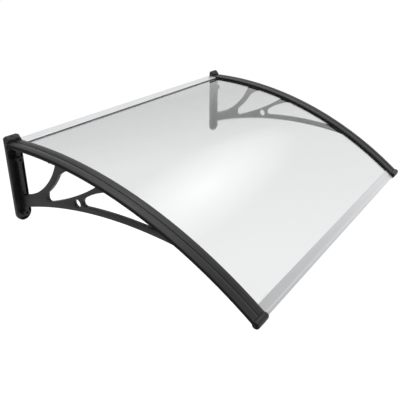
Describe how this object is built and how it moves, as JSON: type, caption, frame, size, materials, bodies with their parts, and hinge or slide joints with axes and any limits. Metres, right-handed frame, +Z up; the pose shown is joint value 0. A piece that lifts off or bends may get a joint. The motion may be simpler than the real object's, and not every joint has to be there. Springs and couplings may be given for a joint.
{
  "type": "door canopy",
  "caption": "Wall-mounted door canopy: a clear curved polycarbonate sheet between openwork black plastic brackets, with an aluminium wall rail and front edge profile.",
  "frame": {"origin": "middle of the wall rail's back face, in the wall's plane", "axes": "+X to the right seen from the front, +Y into the wall, +Z up"},
  "size_m": [1.002, 0.7489, 0.2757],
  "materials": {
    "black_plastic": "satin black moulded plastic",
    "clear_sheet": "clear polycarbonate sheet, smooth on both faces",
    "aluminium": "satin anodised extrusion",
    "rubber_seal": "dark grey rubber",
    "screw_steel": "black coated steel screws"
  },
  "bodies": {
    "root": {"left_bracket": "black_plastic", "right_bracket": "black_plastic", "left_cover_strip": "black_plastic", "right_cover_strip": "black_plastic", "left_post_cap": "black_plastic", "right_post_cap": "black_plastic", "left_front_cap": "black_plastic", "right_front_cap": "black_plastic", "left_edge_gasket": "rubber_seal", "right_edge_gasket": "rubber_seal", "rail_seal": "rubber_seal", "roof_sheet": "clear_sheet", "wall_rail": "aluminium", "front_profile": "aluminium", "left_cover_screw_1": "screw_steel", "left_cover_screw_2": "screw_steel", "left_cover_screw_3": "screw_steel", "left_cover_screw_4": "screw_steel", "right_cover_screw_1": "screw_steel", "right_cover_screw_2": "screw_steel", "right_cover_screw_3": "screw_steel", "right_cover_screw_4": "screw_steel", "left_cap_screw": "screw_steel", "right_cap_screw": "screw_steel"}
  },
  "joints": []
}
